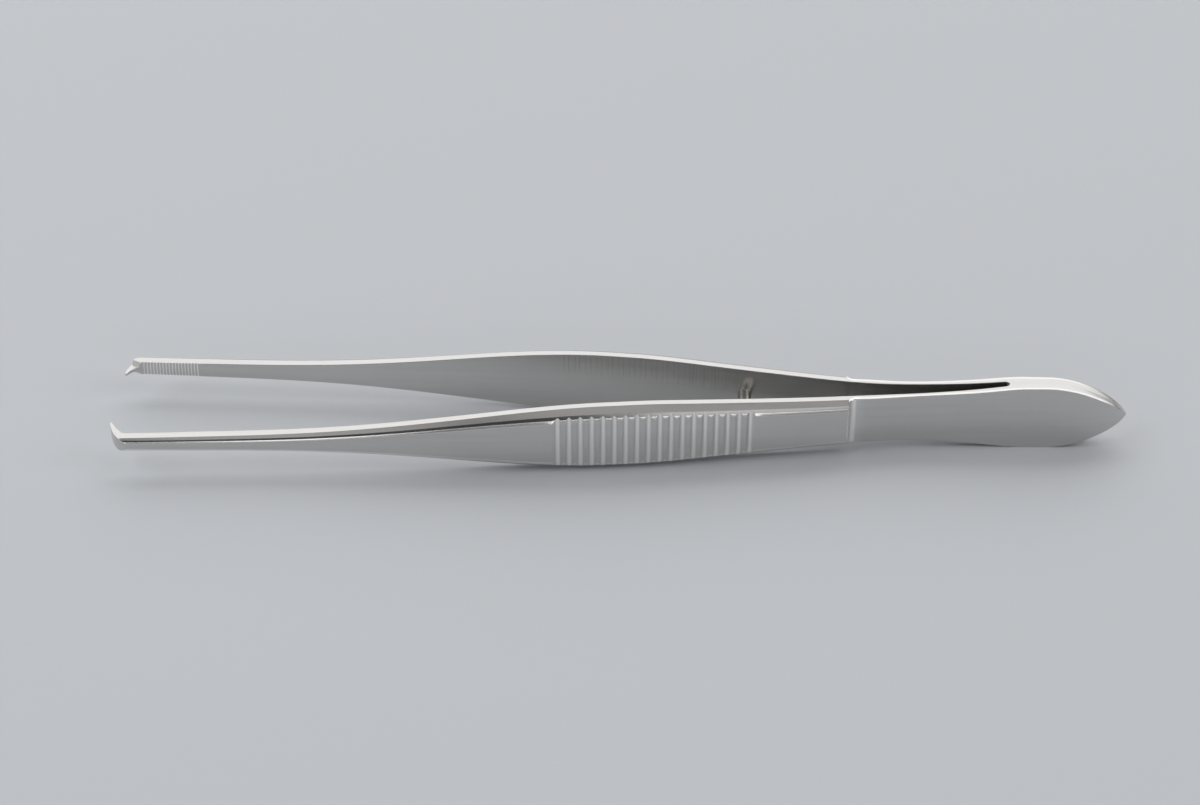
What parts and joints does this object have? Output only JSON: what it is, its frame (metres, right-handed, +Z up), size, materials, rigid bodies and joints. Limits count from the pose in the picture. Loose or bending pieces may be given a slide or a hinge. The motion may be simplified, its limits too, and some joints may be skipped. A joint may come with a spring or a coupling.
{
  "type": "thumb forceps",
  "caption": "Tissue forceps: sprung steel arms joined at a leaf-shaped heel, cross-grooved grips, slim jaws with hooked interlocking teeth and a guide pin between them.",
  "frame": {"origin": "on the floor plane, midway between the rear tip's tooth and the heel's point, in the plane where the two arms meet", "axes": "+X from the toothed tips to the heel, +Y from the front arm to the rear arm, +Z up from the floor on which the forceps lies on its narrow edges"},
  "size_m": [0.15, 0.0236, 0.0101],
  "materials": {
    "arm_steel": "satin, fine lengthwise grain",
    "pin_steel": "satin, turned"
  },
  "bodies": {
    "root": {"front_arm": "arm_steel", "rear_arm": "arm_steel", "guide_pin": "pin_steel"}
  },
  "joints": []
}
